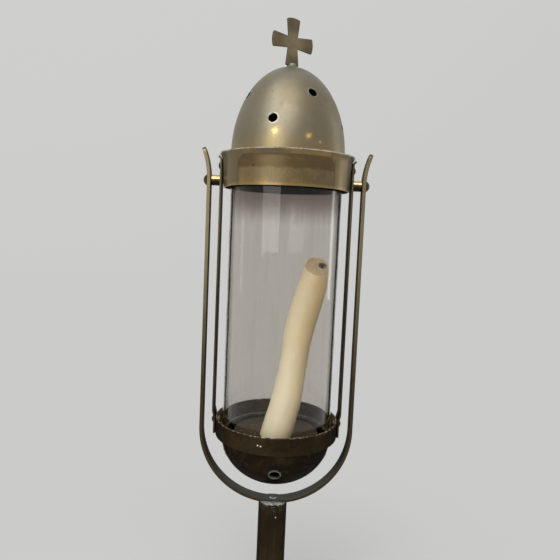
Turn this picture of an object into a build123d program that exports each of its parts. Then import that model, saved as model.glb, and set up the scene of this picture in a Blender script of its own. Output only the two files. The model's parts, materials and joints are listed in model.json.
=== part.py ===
"""Processional lantern: a glass cylinder under a pierced dome, swinging between the arms of a
forked yoke on a pole socket.

Millimetres, +Z up, +X towards the right-hand pivot, -Y the front. The origin is the centre of the
socket's open mouth. Heights on the lantern are counted from the pivot axis.
"""
from build123d import *
from math import asin, cos, degrees, radians, sin, sqrt
import os

os.makedirs("parts", exist_ok=True)

# Clearances
RUNNING_CLEARANCE = 0.05  # radial, pin in the yoke's hole
FIT_CLEARANCE = 0.05  # radial, a screw or tenon in its hole, and brazed seats
AXIAL_PLAY = 0.2  # each side of the yoke's arm
LID_PLAY = 0.4  # radial, the lid's spigot and brim in the collar
GLASS_PLAY = 0.6  # radial, the glass in its upper guide
CANDLE_PLAY = 0.1  # candle on its spike
CUT_MARGIN = 5.0  # how far a cutting tool runs past the wall it cuts

# Glass cylinder
glass_r = 53.4
glass_wall = 2.6
glass_length = 250.5

# Collar round the top of the glass, flared at its rim
collar_gap = 5.1  # glass to collar
collar_wall = 1.5
collar_taper = 1.3  # how much wider at the start of the flare than at the bottom
collar_straight = 23.7  # height up to the flare
collar_flare_rise = 7.7
collar_flare_reach = 3.0
collar_glass_overlap = 14.7  # how far the glass stands up into the collar
pivot_rise = 6.7  # pivot axis above the collar's lower edge

# Ledge inside the collar: carries the lid, guides the glass
ledge_drop = 3.2  # below the collar's rim
ledge_thickness = 1.2
ledge_skirt_wall = 1.0
ledge_skirt_overlap = 10.0  # how far the skirt reaches down over the glass

# Lid
dome_wall = 1.2
dome_proud = 0.7  # dome's radius over the glass's
dome_rise = 82.4
dome_root_fillet = 1.8
dome_root_straight = 0.5  # upright wall between the fillet and the widest section
brim_thickness = 1.2
spigot_wall = 1.0
spigot_depth = 9.0
spigot_grip = 3.0  # how far the spigot stands up inside the dome
vent_r = 4.2
upper_vent_height = 52.0  # above the dome's widest section
lower_vent_height = 26.5
upper_vent_azimuths = (17, 106, 194, 282)  # degrees from the front, set out by hand
lower_vent_azimuths = (-27, 65, 152, 243)

# Cross on the lid
cross_thickness = 2.0
cross_arm = 22.0
cross_neck = 10.2
cross_tip = 13.8
cross_tip_bulge = 1.2
cross_corner = 0.6
cross_turn = 26.0  # degrees about Z
cross_stand = 1.2  # lower tip above the dome's top
solder_r = 6.0
solder_height = 3.8
solder_top_r = 2.6
solder_sink = 1.0  # below the dome's top
solder_hollow_r = 6.0

# Cup that carries the foot of the glass
cup_gap = 5.1
cup_wall = 1.5
cup_depth = 13.2  # rim to ledge
cup_ledge_thickness = 1.5
cup_ledge_lap = 1.3  # how far the ledge reaches in past the glass
cup_skirt = 2.2  # wall below the ledge
cup_rim_round = 0.6

# Bowl under the cup
bowl_proud = 0.6
bowl_depth = 47.0
bowl_wall = 1.2
bowl_vent_r = 5.0
bowl_vent_drop = 21.6  # below the cup's lower edge
bowl_vent_count = 4
bowl_lip_width = 0.9  # rim raised round a vent by the punch
bowl_lip_rise = 0.8
bowl_solder_r = 1.6

# Candle plate and its pricket
plate_gap = 8.8  # glass to plate
plate_thickness = 1.5
plate_drop = 1.0  # below the cup's ledge
stem_r = 4.5
tenon_r = 2.0
neck_r = 2.5
spike_r = 2.2
spike_tip_r = 0.5
spike_height = 28.0

# Candle, bent by its own warmth: height above the plate, shares of its lean in x and y, radius
candle_gap = 14.5  # from the middle of its cut top to the glass
candle_stations = (
    (0.0, 0.10, -0.02, 15.2),
    (32.0, 0.28, -0.04, 15.0),
    (60.0, 0.39, -0.06, 13.6),
    (82.0, 0.43, -0.10, 13.9),
    (102.0, 0.50, -0.14, 14.5),
    (122.0, 0.62, -0.21, 14.7),
    (142.0, 0.75, -0.33, 13.7),
    (160.0, 0.81, -0.47, 12.3),
    (176.0, 0.88, -0.62, 10.6),
)
candle_cut_height = 168.0
candle_cut_place = (0.84, -0.54)  # shares of the lean
candle_cut_normal = (0.12, -0.62, 0.77)
wick_pit_r = 3.0
wick_pit_depth = 3.0
wick_pit_taper = 25  # degrees
wick_offset = 4.5  # from the middle of the candle's top, to the right
wick_r = 0.8
wick_length = 6.0

# Side straps
strap_width = 18.0
strap_thickness = 1.8
strap_corner = 4.0
strap_standoff = 0.15  # off the collar beside the upper screw's head
strap_tip_rise = 4.8  # above the upper screw's head
strap_tip_reach = 3.0
strap_joggle_height = 6.0
strap_joggle_start = 6.0  # above the cup's rim
strap_foot = 0.8  # below the cup's lower edge

# Strap screws and nuts
screw_r = 1.6
screw_head_r = 4.2
screw_head_height = 2.4
upper_screw_height = 14.0  # above the pivot axis
lower_screw_drop = 4.8  # below the cup's rim
nut_flats = 6.0
nut_thickness = 2.0
screw_tail = 0.6  # past the nut

# Pivots
pin_r = 3.0
pin_head_r = 5.4
pin_head_height = 3.8
bush_r = 5.0
bush_length = 8.7
bush_chamfer = 0.5
pin_nut_flats = 9.0
pin_nut_thickness = 2.2

# Yoke, a flat bar bent to a U
yoke_width = 12.5
yoke_thickness = 3.4
swing_gap = 20.0  # bowl to the inside of the bend
yoke_tip_rise = 31.0
yoke_tip_reach = 6.2
yoke_edge_round = 0.5
rivet_r = 2.5
rivet_head_r = 3.6

# Pole socket
socket_r = 14.2
socket_wall = 1.5
socket_length = 120.0
plug_length = 12.0
plug_step = 0.4  # how much wider the socket is bored for the plug
braze_height = 2.4
braze_margin = 0.5  # toe of the fillet inside the socket's edge
braze_hollow = 0.3  # how far out its face stands at half height, as a share of its width

# Places worked out from the sizes above
lantern_drop = pivot_rise - collar_glass_overlap + glass_length + cup_ledge_thickness + cup_skirt
yoke_depth = lantern_drop + bowl_depth + swing_gap  # pivot axis to the inside of the bend
pivot_z = socket_length + yoke_thickness + yoke_depth

collar_bottom_z = pivot_z - pivot_rise
collar_bottom_r = glass_r + collar_gap + collar_wall
collar_flare_z = collar_bottom_z + collar_straight
collar_rim_z = collar_flare_z + collar_flare_rise
flare_r = (collar_flare_rise**2 + collar_flare_reach**2) / (2 * collar_flare_reach)

ledge_top_z = collar_rim_z - ledge_drop
glass_top_z = collar_bottom_z + collar_glass_overlap
glass_foot_z = glass_top_z - glass_length

dome_r = glass_r + dome_proud
dome_centre_z = ledge_top_z + brim_thickness + dome_root_fillet + dome_root_straight
dome_top_z = dome_centre_z + dome_rise
spigot_r = dome_r - dome_wall - FIT_CLEARANCE
ledge_hole_r = spigot_r + LID_PLAY

cup_r = glass_r + cup_gap + cup_wall
cup_rim_z = glass_foot_z + cup_depth
cup_bottom_z = glass_foot_z - cup_ledge_thickness - cup_skirt
cup_hole_r = glass_r - glass_wall - cup_ledge_lap

bowl_r = glass_r + bowl_proud
bowl_top_z = glass_foot_z - cup_ledge_thickness
bowl_bottom_z = cup_bottom_z - bowl_depth

plate_r = glass_r - glass_wall - plate_gap
plate_top_z = glass_foot_z - plate_drop
plate_bottom_z = plate_top_z - plate_thickness

upper_screw_z = pivot_z + upper_screw_height
lower_screw_z = cup_rim_z - lower_screw_drop


def collar_radius(z):
    """The collar's outer radius at a height."""
    if z <= collar_flare_z:
        return collar_bottom_r + collar_taper * (z - collar_bottom_z) / collar_straight
    rise = z - collar_flare_z
    return collar_bottom_r + collar_taper + flare_r - sqrt(flare_r**2 - rise**2)


def vent_plane(azimuth, height, centre_z, radius, rise):
    """A plane square to a half-elliptical wall, at an azimuth from the front and a height."""
    ring_r = radius * sqrt(1 - (height / rise) ** 2)
    across = sin(radians(azimuth)), -cos(radians(azimuth))
    out = ring_r / radius**2
    return Plane(
        origin=(ring_r * across[0], ring_r * across[1], centre_z + height),
        z_dir=(out * across[0], out * across[1], height / rise**2),
    )


def seat_x(inner_r, half_width):
    """How far out a flat face of a given half width can sit inside a round wall."""
    return sqrt(inner_r**2 - half_width**2)


curl_start_z = upper_screw_z + screw_head_r
strap_x = collar_radius(curl_start_z) + strap_standoff  # inner face of the strap
strap_outer_x = strap_x + strap_thickness
yoke_x = strap_outer_x + bush_length + AXIAL_PLAY  # inner face of the yoke's arm
yoke_outer_x = yoke_x + yoke_thickness
bend_r = yoke_x  # inside radius of the bend
bend_z = pivot_z - yoke_depth + bend_r

front = Plane.XZ  # sketches here read as radius and height


def right_side(height):
    """A plane on the right-hand side at a height, facing out along +X."""
    return Plane(origin=(0, 0, height), x_dir=(0, 1, 0), z_dir=(1, 0, 0))


def mirrored(part):
    """The same piece on the left-hand side."""
    return mirror(part, about=Plane.YZ)


def save(part, name):
    """Label a piece and write its file."""
    part.label = name
    export_step(part, f"parts/{name}.step")


# Yoke bar: the U and its flared tips, with the two pivot holes and the rivet's countersink
tip_r = (yoke_tip_rise**2 + yoke_tip_reach**2) / (2 * yoke_tip_reach)
tip_turn = degrees(asin(yoke_tip_rise / tip_r))

with BuildPart() as yoke_bar:
    with BuildSketch(front):
        with BuildLine():
            left_tip = CenterArc((-yoke_x - tip_r, pivot_z), tip_r, tip_turn, -tip_turn)
            left_arm = Line(left_tip @ 1, (-yoke_x, bend_z))
            bend = CenterArc((0, bend_z), bend_r, 180, 180)
            right_arm = Line(bend @ 1, (yoke_x, pivot_z))
            CenterArc((yoke_x + tip_r, pivot_z), tip_r, 180, -tip_turn)
            offset(amount=yoke_thickness, side=Side.RIGHT)
        make_face()
    extrude(amount=yoke_width / 2, both=True)
    tip_ends = yoke_bar.faces().filter_by(lambda f: f.center().Z > pivot_z + yoke_tip_rise / 2)
    tip_ends = tip_ends.sort_by(Axis.Z)[-2:]
    tip_corners = tip_ends.edges().filter_by(Axis.Y, reverse=True)
    fillet(tip_corners, yoke_width / 2 - 2 * yoke_edge_round)
    broad_faces = yoke_bar.faces().filter_by(Axis.Y)
    fillet(broad_faces.edges(), yoke_edge_round)
    with BuildSketch(right_side(pivot_z)):
        Circle(pin_r + RUNNING_CLEARANCE)
    extrude(amount=yoke_outer_x + CUT_MARGIN, both=True, mode=Mode.SUBTRACT)
    with Locations((0, 0, pivot_z - yoke_depth)):
        CounterSinkHole(rivet_r + FIT_CLEARANCE, rivet_head_r + FIT_CLEARANCE, 2 * yoke_thickness)
save(yoke_bar.part, "yoke_bar")

# Rivet through the bend into the plug, its head sunk flush
countersink_depth = rivet_head_r - rivet_r
rivet_length = yoke_thickness + plug_length

with BuildPart() as yoke_rivet:
    with BuildSketch(Plane.XY.offset(pivot_z - yoke_depth)):
        Circle(rivet_head_r)
    with BuildSketch(Plane.XY.offset(pivot_z - yoke_depth - countersink_depth)):
        Circle(rivet_r)
    loft()
    with BuildSketch(Plane.XY.offset(pivot_z - yoke_depth - countersink_depth)):
        Circle(rivet_r)
    extrude(amount=-(rivet_length - countersink_depth))
save(yoke_rivet.part, "yoke_rivet")

# Pole socket: a tube bored a step wider for its plug, its top cut to the bend of the yoke
plug_seat_r = socket_r - socket_wall + plug_step

with BuildPart() as bend_outside:
    with BuildSketch(front):
        with Locations((0, bend_z)):
            Circle(bend_r + yoke_thickness)
    extrude(amount=socket_r + CUT_MARGIN, both=True)

with BuildPart() as pole_socket:
    with BuildSketch(Plane.XY):
        Circle(socket_r)
        Circle(socket_r - socket_wall, mode=Mode.SUBTRACT)
    extrude(amount=socket_length + socket_wall)
    with BuildSketch(Plane.XY.offset(socket_length - plug_length)):
        Circle(plug_seat_r)
    extrude(amount=plug_length + CUT_MARGIN, mode=Mode.SUBTRACT)
    add(bend_outside.part, mode=Mode.SUBTRACT)
save(pole_socket.part, "pole_socket")

# Plug brazed into the top of the socket
with BuildPart() as socket_plug:
    with BuildSketch(Plane.XY.offset(socket_length - plug_length)):
        Circle(plug_seat_r - FIT_CLEARANCE)
        Circle(rivet_r + FIT_CLEARANCE, mode=Mode.SUBTRACT)
    extrude(amount=plug_length + socket_wall)
    add(bend_outside.part, mode=Mode.SUBTRACT)
save(socket_plug.part, "socket_plug")

# Braze fillets between the socket's top and the edges of the yoke bar, front and back
braze_root_y = -yoke_width / 2
braze_toe_y = -(socket_r - braze_margin)
braze_top_z = socket_length + braze_height

with BuildPart() as braze_fillets:
    with BuildSketch(Plane.YZ):
        with BuildLine():
            Polyline(
                (braze_toe_y, socket_length),
                (braze_root_y, socket_length),
                (braze_root_y, braze_top_z),
            )
            braze_face = (
                braze_hollow * braze_toe_y + (1 - braze_hollow) * braze_root_y,
                (socket_length + braze_top_z) / 2,
            )
            ThreePointArc((braze_root_y, braze_top_z), braze_face, (braze_toe_y, socket_length))
        make_face()
    extrude(amount=socket_r, both=True)
    mirror(about=Plane.XZ)
    with BuildSketch(Plane.XY.offset(socket_length)):
        Circle(socket_r - braze_margin)
    extrude(amount=braze_height, mode=Mode.INTERSECT)
    add(bend_outside.part, mode=Mode.INTERSECT)
save(braze_fillets.part, "braze_fillets")

# Collar round the top of the glass, with the pivot and screw holes on both sides
collar_flare_foot_r = collar_bottom_r + collar_taper
collar_rim_r = collar_flare_foot_r + collar_flare_reach

with BuildPart() as top_collar:
    with BuildSketch(front):
        for inset, fill in ((0, Mode.ADD), (collar_wall, Mode.SUBTRACT)):
            flare_foot = (collar_flare_foot_r - inset, collar_flare_z)
            flare_end = (collar_rim_r - inset, collar_rim_z)
            with BuildLine():
                Polyline(
                    flare_end,
                    (0, collar_rim_z),
                    (0, collar_bottom_z),
                    (collar_bottom_r - inset, collar_bottom_z),
                    flare_foot,
                )
                RadiusArc(flare_foot, flare_end, flare_r)
            make_face(mode=fill)
    revolve(axis=Axis.Z)
    with BuildSketch(right_side(pivot_z)):
        Circle(pin_r + FIT_CLEARANCE)
    extrude(amount=collar_rim_r + CUT_MARGIN, both=True, mode=Mode.SUBTRACT)
    with BuildSketch(right_side(upper_screw_z)):
        Circle(screw_r + FIT_CLEARANCE)
    extrude(amount=collar_rim_r + CUT_MARGIN, both=True, mode=Mode.SUBTRACT)
save(top_collar.part, "top_collar")

# Ledge soldered inside the collar: a flat seat for the lid and a skirt that guides the glass
ledge_r = collar_radius(ledge_top_z - ledge_thickness) - collar_wall - FIT_CLEARANCE
ledge_bottom_z = ledge_top_z - ledge_thickness
guide_r = glass_r + GLASS_PLAY
guide_bottom_z = glass_top_z - ledge_skirt_overlap

with BuildPart() as collar_ledge:
    with BuildSketch(front):
        with BuildLine():
            Polyline(
                (ledge_hole_r, ledge_top_z),
                (ledge_r, ledge_top_z),
                (ledge_r, ledge_bottom_z),
                (guide_r + ledge_skirt_wall, ledge_bottom_z),
                (guide_r + ledge_skirt_wall, guide_bottom_z),
                (guide_r, guide_bottom_z),
                (guide_r, ledge_bottom_z),
                (ledge_hole_r, ledge_bottom_z),
                close=True,
            )
        make_face()
    revolve(axis=Axis.Z)
save(collar_ledge.part, "collar_ledge")

# Glass cylinder, its ends ground and slightly rounded
with BuildPart() as glass_chimney:
    with BuildSketch(Plane.XY.offset(glass_foot_z)):
        Circle(glass_r)
        Circle(glass_r - glass_wall, mode=Mode.SUBTRACT)
    extrude(amount=glass_length)
    fillet(glass_chimney.edges().filter_by(GeomType.CIRCLE), glass_wall / 4)
save(glass_chimney.part, "glass_chimney")

# Domed lid: brim, root fillet and half an ellipse, pierced by two rows of vents
brim_r = collar_radius(ledge_top_z) - collar_wall - LID_PLAY
brim_top_z = ledge_top_z + brim_thickness

with BuildPart() as lid_dome:
    with BuildSketch(front):
        with BuildLine():
            crown = EllipticalCenterArc(
                (0, dome_centre_z), dome_r, dome_rise, start_angle=90, arc_size=-90
            )
            fillet_top = Line(crown @ 1, (dome_r, brim_top_z + dome_root_fillet)) @ 1
            fillet_foot = (dome_r + dome_root_fillet, brim_top_z)
            RadiusArc(fillet_foot, fillet_top, dome_root_fillet)
            Polyline(fillet_foot, (brim_r, brim_top_z), (brim_r, ledge_top_z), (0, ledge_top_z))
            Line((0, ledge_top_z), crown @ 0)
        make_face()
        with BuildLine():
            inside = EllipticalCenterArc(
                (0, dome_centre_z),
                dome_r - dome_wall,
                dome_rise - dome_wall,
                start_angle=90,
                arc_size=-90,
            )
            Polyline(inside @ 1, (dome_r - dome_wall, ledge_top_z), (0, ledge_top_z), inside @ 0)
        make_face(mode=Mode.SUBTRACT)
    revolve(axis=Axis.Z)
    vents = [(azimuth, upper_vent_height) for azimuth in upper_vent_azimuths]
    vents += [(azimuth, lower_vent_height) for azimuth in lower_vent_azimuths]
    for azimuth, height in vents:
        with BuildSketch(vent_plane(azimuth, height, dome_centre_z, dome_r, dome_rise)):
            Circle(vent_r)
        extrude(amount=CUT_MARGIN, both=True, mode=Mode.SUBTRACT)
save(lid_dome.part, "lid_dome")

# Spigot soldered inside the dome's mouth, which centres the lid in the ledge
with BuildPart() as lid_spigot:
    with BuildSketch(Plane.XY.offset(ledge_top_z - spigot_depth)):
        Circle(spigot_r)
        Circle(spigot_r - spigot_wall, mode=Mode.SUBTRACT)
    extrude(amount=spigot_depth + spigot_grip)
save(lid_spigot.part, "lid_spigot")

# Cross: four flared arms with convex ends, sawn from plate
cross_centre_z = dome_top_z + cross_stand + cross_arm
cross_plane = Plane(
    origin=(0, 0, cross_centre_z),
    x_dir=(cos(radians(cross_turn)), sin(radians(cross_turn)), 0),
    z_dir=(sin(radians(cross_turn)), -cos(radians(cross_turn)), 0),
)

with BuildPart() as finial_cross:
    with BuildSketch(cross_plane) as cross_outline:
        for quarter in range(4):
            with BuildSketch(Plane.XY.rotated((0, 0, 90 * quarter)), mode=Mode.PRIVATE) as arm:
                with BuildLine():
                    root = cross_neck / 2
                    shoulder = cross_arm - cross_tip_bulge
                    Polyline(
                        (shoulder, cross_tip / 2),
                        (root, root),
                        (0, 0),
                        (root, -root),
                        (shoulder, -cross_tip / 2),
                    )
                    ThreePointArc(
                        (shoulder, -cross_tip / 2), (cross_arm, 0), (shoulder, cross_tip / 2)
                    )
                make_face()
            add(arm.sketch)
        tips = cross_outline.vertices().filter_by(
            lambda v: v.center().length > cross_arm - 2 * cross_tip_bulge
        )
        fillet(tips, cross_corner)
    extrude(amount=cross_thickness / 2, both=True)
save(finial_cross.part, "finial_cross")

# Solder heaped round the foot of the cross
with BuildPart() as finial_solder:
    with BuildSketch(front):
        with BuildLine():
            heap_foot_z = dome_top_z - solder_sink
            Polyline(
                (solder_top_r, dome_top_z + solder_height),
                (0, dome_top_z + solder_height),
                (0, heap_foot_z),
                (solder_r, heap_foot_z),
            )
            RadiusArc(
                (solder_r, heap_foot_z),
                (solder_top_r, dome_top_z + solder_height),
                solder_hollow_r,
            )
        make_face()
    revolve(axis=Axis.Z)
    add(lid_dome.part, mode=Mode.SUBTRACT)
    add(finial_cross.part, mode=Mode.SUBTRACT)
save(finial_solder.part, "finial_solder")

# Cup: a band with a ledge for the glass, holed for the strap screws
with BuildPart() as cup_band:
    with BuildSketch(front):
        with BuildLine():
            Polyline(
                (cup_r, cup_rim_z),
                (cup_r, cup_bottom_z),
                (cup_r - cup_wall, cup_bottom_z),
                (cup_r - cup_wall, bowl_top_z),
                (cup_hole_r, bowl_top_z),
                (cup_hole_r, glass_foot_z),
                (cup_r - cup_wall, glass_foot_z),
                (cup_r - cup_wall, cup_rim_z),
                close=True,
            )
        make_face()
    revolve(axis=Axis.Z)
    fillet(cup_band.edges().group_by(Axis.Z)[-1], cup_rim_round)
    fillet(cup_band.edges().group_by(Axis.Z)[0].sort_by(SortBy.LENGTH)[-1], cup_rim_round)
    with BuildSketch(right_side(lower_screw_z)):
        Circle(screw_r + FIT_CLEARANCE)
    extrude(amount=cup_r + CUT_MARGIN, both=True, mode=Mode.SUBTRACT)
save(cup_band.part, "cup_band")

# Bowl: half an ellipse hung under the cup's ledge, vented low down
bowl_inner_bottom_z = bowl_bottom_z + bowl_wall

with BuildPart() as drip_bowl:
    with BuildSketch(front):
        with BuildLine():
            outer_curve = EllipticalCenterArc(
                (0, cup_bottom_z), bowl_r, bowl_depth, start_angle=-90, arc_size=90
            )
            inner_curve = EllipticalCenterArc(
                (0, cup_bottom_z), bowl_r - bowl_wall, bowl_depth - bowl_wall, -90, arc_size=90
            )
            Line(outer_curve @ 0, inner_curve @ 0)
            Polyline(
                outer_curve @ 1,
                (bowl_r, bowl_top_z),
                (bowl_r - bowl_wall, bowl_top_z),
                inner_curve @ 1,
            )
        make_face()
    revolve(axis=Axis.Z)
    for turn in range(bowl_vent_count):
        azimuth = 360 / bowl_vent_count * turn
        plane = vent_plane(azimuth, -bowl_vent_drop, cup_bottom_z, bowl_r, bowl_depth)
        with BuildSketch(plane.offset(-bowl_wall / 2)):
            Circle(bowl_vent_r + bowl_lip_width)
        extrude(amount=bowl_wall / 2 + bowl_lip_rise)
        with BuildSketch(plane):
            Circle(bowl_vent_r)
        extrude(amount=CUT_MARGIN, both=True, mode=Mode.SUBTRACT)
    with BuildSketch(Plane.XY.offset(bowl_bottom_z)):
        Circle(tenon_r + FIT_CLEARANCE)
    extrude(amount=CUT_MARGIN, both=True, mode=Mode.SUBTRACT)
save(drip_bowl.part, "drip_bowl")

# Solder run in the corner between the bowl and the cup's ledge
with BuildPart() as bowl_solder:
    with BuildSketch(front):
        with BuildLine():
            CenterArc((bowl_r, bowl_top_z), bowl_solder_r, 0, -90)
            Polyline((bowl_r, bowl_top_z - bowl_solder_r), (bowl_r, bowl_top_z))
            Line((bowl_r, bowl_top_z), (bowl_r + bowl_solder_r, bowl_top_z))
        make_face()
    revolve(axis=Axis.Z)
save(bowl_solder.part, "bowl_solder")

# Pricket: a turned stem riveted into the bowl, which carries the plate and spikes the candle
stem_sag = bowl_depth * (1 - sqrt(1 - (stem_r / bowl_r) ** 2))
stem_foot_z = bowl_inner_bottom_z + stem_sag + FIT_CLEARANCE

with BuildPart() as pricket:
    with BuildSketch(front):
        with BuildLine():
            Polyline(
                (0, bowl_bottom_z),
                (tenon_r, bowl_bottom_z),
                (tenon_r, stem_foot_z),
                (stem_r, stem_foot_z),
                (stem_r, plate_bottom_z),
                (neck_r, plate_bottom_z),
                (neck_r, plate_top_z),
                (spike_r, plate_top_z),
                (spike_tip_r, plate_top_z + spike_height),
                (0, plate_top_z + spike_height),
                close=True,
            )
        make_face()
    revolve(axis=Axis.Z)
save(pricket.part, "pricket")

# Candle plate
with BuildPart() as candle_plate:
    with BuildSketch(Plane.XY.offset(plate_bottom_z)):
        Circle(plate_r)
        Circle(neck_r + FIT_CLEARANCE, mode=Mode.SUBTRACT)
    extrude(amount=plate_thickness)
    fillet(candle_plate.edges().sort_by(SortBy.LENGTH)[-2:], plate_thickness / 3)
save(candle_plate.part, "candle_plate")


candle_lean = glass_r - glass_wall - candle_gap
candle_line = [
    Vector(candle_lean * share_x, candle_lean * share_y, plate_top_z + height)
    for height, share_x, share_y, _ in candle_stations
]


def station_plane(index):
    """A plane square to the candle's line at one of its stations, level at the foot."""
    if index == 0:
        return Plane(candle_line[0])
    after = candle_line[min(index + 1, len(candle_line) - 1)]
    along = after - candle_line[index - 1]
    return Plane(origin=candle_line[index], x_dir=(1, 0, 0), z_dir=along)


# Candle: a leaning stick that was cut aslant, with a burnt pit round its wick
candle_top = Plane(
    origin=(
        candle_lean * candle_cut_place[0],
        candle_lean * candle_cut_place[1],
        plate_top_z + candle_cut_height,
    ),
    x_dir=(1, 0, 0),
    z_dir=candle_cut_normal,
)
wick_foot = candle_top.offset(-wick_pit_depth)

with BuildPart() as candle:
    for index, station in enumerate(candle_stations):
        with BuildSketch(station_plane(index)):
            Circle(station[3])
    loft()
    split(bisect_by=candle_top, keep=Keep.BOTTOM)
    with BuildSketch(candle_top) as pit_mouth:
        with Locations((wick_offset, 0)):
            Circle(wick_pit_r)
    extrude(amount=-wick_pit_depth, taper=wick_pit_taper, mode=Mode.SUBTRACT)
    with BuildSketch(wick_foot) as wick_hole:
        with Locations((wick_offset, 0)):
            Circle(wick_r + FIT_CLEARANCE)
    extrude(amount=-wick_length / 2, mode=Mode.SUBTRACT)
    with BuildSketch(front):
        with BuildLine():
            Polyline(
                (0, plate_top_z),
                (spike_r + CANDLE_PLAY, plate_top_z),
                (spike_tip_r + CANDLE_PLAY, plate_top_z + spike_height + CANDLE_PLAY),
                (0, plate_top_z + spike_height + CANDLE_PLAY),
                close=True,
            )
        make_face()
    revolve(axis=Axis.Z, mode=Mode.SUBTRACT)
save(candle.part, "candle")

# Wick, burnt short
with BuildPart() as wick:
    with BuildSketch(wick_foot.offset(-wick_length / 2)):
        with Locations((wick_offset, 0)):
            Circle(wick_r)
    extrude(amount=wick_length)
save(wick.part, "wick")

# Side straps: flat bars that curl out under the collar's rim and joggle in to the cup
curl_r = (strap_tip_rise**2 + strap_tip_reach**2) / (2 * strap_tip_reach)
curl_turn = degrees(asin(strap_tip_rise / curl_r))
joggle_top_z = cup_rim_z + strap_joggle_start
joggle_bottom_z = joggle_top_z - strap_joggle_height
strap_foot_z = cup_bottom_z - strap_foot

with BuildPart() as side_strap_right:
    with BuildSketch(front):
        with BuildLine():
            curl = CenterArc((strap_x + curl_r, curl_start_z), curl_r, 180 - curl_turn, curl_turn)
            straight = Line(curl @ 1, (strap_x, joggle_top_z))
            joggle = Line(straight @ 1, (cup_r, joggle_bottom_z))
            Line(joggle @ 1, (cup_r, strap_foot_z))
            offset(amount=strap_thickness, side=Side.LEFT)
        make_face()
    extrude(amount=strap_width / 2, both=True)
    foot_edges = side_strap_right.edges().filter_by(Axis.X).group_by(Axis.Z)[0]
    fillet(foot_edges, strap_corner)
    with BuildSketch(right_side(pivot_z)):
        Circle(pin_r + FIT_CLEARANCE)
    extrude(amount=yoke_x, mode=Mode.SUBTRACT)
    for height in (upper_screw_z, lower_screw_z):
        with BuildSketch(right_side(height)):
            Circle(screw_r + FIT_CLEARANCE)
        extrude(amount=yoke_x, mode=Mode.SUBTRACT)
side_strap_left = mirrored(side_strap_right.part)
save(side_strap_right.part, "side_strap_right")
save(side_strap_left, "side_strap_left")


def domed_pin(shank_r, head_r, head_height, seat, end, height):
    """A pin along +X with a domed head outside its seat, its shank running in to its end."""
    crown = (head_r**2 + head_height**2) / (2 * head_height)
    with BuildPart() as pin:
        with BuildSketch(front):
            with BuildLine():
                Polyline((seat + head_height, 0), (end, 0), (end, shank_r), (seat, shank_r))
                Line((seat, shank_r), (seat, head_r))
                RadiusArc((seat, head_r), (seat + head_height, 0), crown)
            make_face()
        revolve(axis=Axis.X)
    return pin.part.moved(Location((0, 0, height)))


def hexagon_nut(flats, thickness, hole_r, outer_face, height):
    """A hexagon nut on an axis along X, its outer face at a given x."""
    plane = Plane(origin=(outer_face, 0, height), x_dir=(0, 1, 0), z_dir=(-1, 0, 0))
    with BuildPart() as nut:
        with BuildSketch(plane):
            RegularPolygon(flats / 2, 6, major_radius=False)
            Circle(hole_r, mode=Mode.SUBTRACT)
        extrude(amount=thickness)
    return nut.part


def both_sides(part):
    """One node that holds a piece and its mirror image."""
    return Compound(children=[part, mirrored(part)])


# Pivot pins, domed outside the yoke and held by thin nuts inside the collar
collar_inner_r = collar_radius(pivot_z - pin_nut_flats / 2) - collar_wall
pin_nut_face = seat_x(collar_inner_r, pin_nut_flats / sqrt(3)) - FIT_CLEARANCE
pin_end = pin_nut_face - pin_nut_thickness
pin_seat = yoke_outer_x + AXIAL_PLAY

pivot_pin = domed_pin(pin_r, pin_head_r, pin_head_height, pin_seat, pin_end, pivot_z)
save(pivot_pin, "pivot_pin_right")
save(mirrored(pivot_pin), "pivot_pin_left")
pin_nut = hexagon_nut(
    pin_nut_flats, pin_nut_thickness, pin_r + FIT_CLEARANCE, pin_nut_face, pivot_z
)
save(both_sides(pin_nut), "pivot_nuts")

# Spacer bushes between the straps and the yoke
with BuildPart() as pivot_bush:
    with BuildSketch(right_side(pivot_z).offset(strap_outer_x)):
        Circle(bush_r)
        Circle(pin_r + FIT_CLEARANCE, mode=Mode.SUBTRACT)
    extrude(amount=bush_length)
    rims = pivot_bush.edges().filter_by(GeomType.CIRCLE).sort_by(SortBy.RADIUS)[-2:]
    chamfer(rims, bush_chamfer)
save(pivot_bush.part, "pivot_bush_right")
save(mirrored(pivot_bush.part), "pivot_bush_left")

# Strap screws and nuts, top and bottom
upper_inner_r = collar_radius(upper_screw_z - nut_flats / 2) - collar_wall
lower_inner_r = cup_r - cup_wall
for place, inner_r, head_seat, height in (
    ("top", upper_inner_r, strap_outer_x, upper_screw_z),
    ("bottom", lower_inner_r, cup_r + strap_thickness, lower_screw_z),
):
    nut_face = seat_x(inner_r, nut_flats / sqrt(3)) - FIT_CLEARANCE
    screw_end = nut_face - nut_thickness - screw_tail
    screw = domed_pin(screw_r, screw_head_r, screw_head_height, head_seat, screw_end, height)
    nut = hexagon_nut(nut_flats, nut_thickness, screw_r + FIT_CLEARANCE, nut_face, height)
    save(both_sides(screw), f"strap_screws_{place}")
    save(both_sides(nut), f"strap_nuts_{place}")

print(f"pivot {pivot_z:.1f}, rim {collar_rim_z:.1f}, cross top {cross_centre_z + cross_arm:.1f}")
print(f"bowl to yoke {bowl_bottom_z - (pivot_z - yoke_depth):.1f} at rest")
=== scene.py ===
"""Processional lantern: finishes and hand-worked details over the lantern's CAD frame.

The file is laid out as a Blender add-on. Each operator finishes or makes one piece, or one group
of like pieces, and the last one sets up the studio. Patterns are measured in millimetres on the
part: +Z up the pole, +X towards the right-hand pivot, -Y the front.
"""

import json
from functools import reduce
from math import cos, radians, sin, sqrt

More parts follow.
